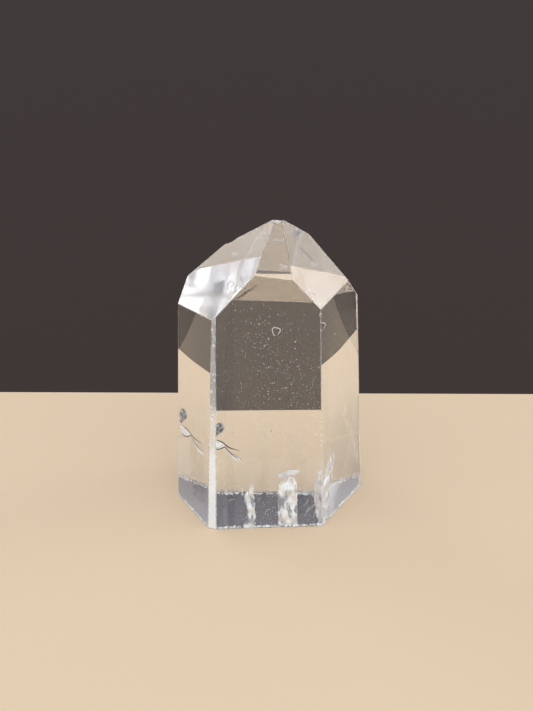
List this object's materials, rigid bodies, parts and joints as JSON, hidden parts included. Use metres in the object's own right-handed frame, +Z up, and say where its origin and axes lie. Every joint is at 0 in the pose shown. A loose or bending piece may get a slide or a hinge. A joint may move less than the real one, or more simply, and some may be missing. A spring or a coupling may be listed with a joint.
{
  "type": "quartz point",
  "caption": "Clear six-sided quartz crystal with a faceted pointed tip, cut flat at the foot so it stands upright.",
  "frame": {"origin": "middle of the box around the crystal, on the plane of its flat foot", "axes": "+Z up from the foot to the tip, the widest plain side faces -Y, +X to the right when it is looked at from -Y"},
  "size_m": [0.027, 0.0164, 0.0446],
  "materials": {
    "quartz": "clear colourless quartz, naturally smooth flat faces, index of refraction about 1.544 to 1.553"
  },
  "bodies": {
    "root": {"crystal": "quartz"}
  },
  "joints": []
}
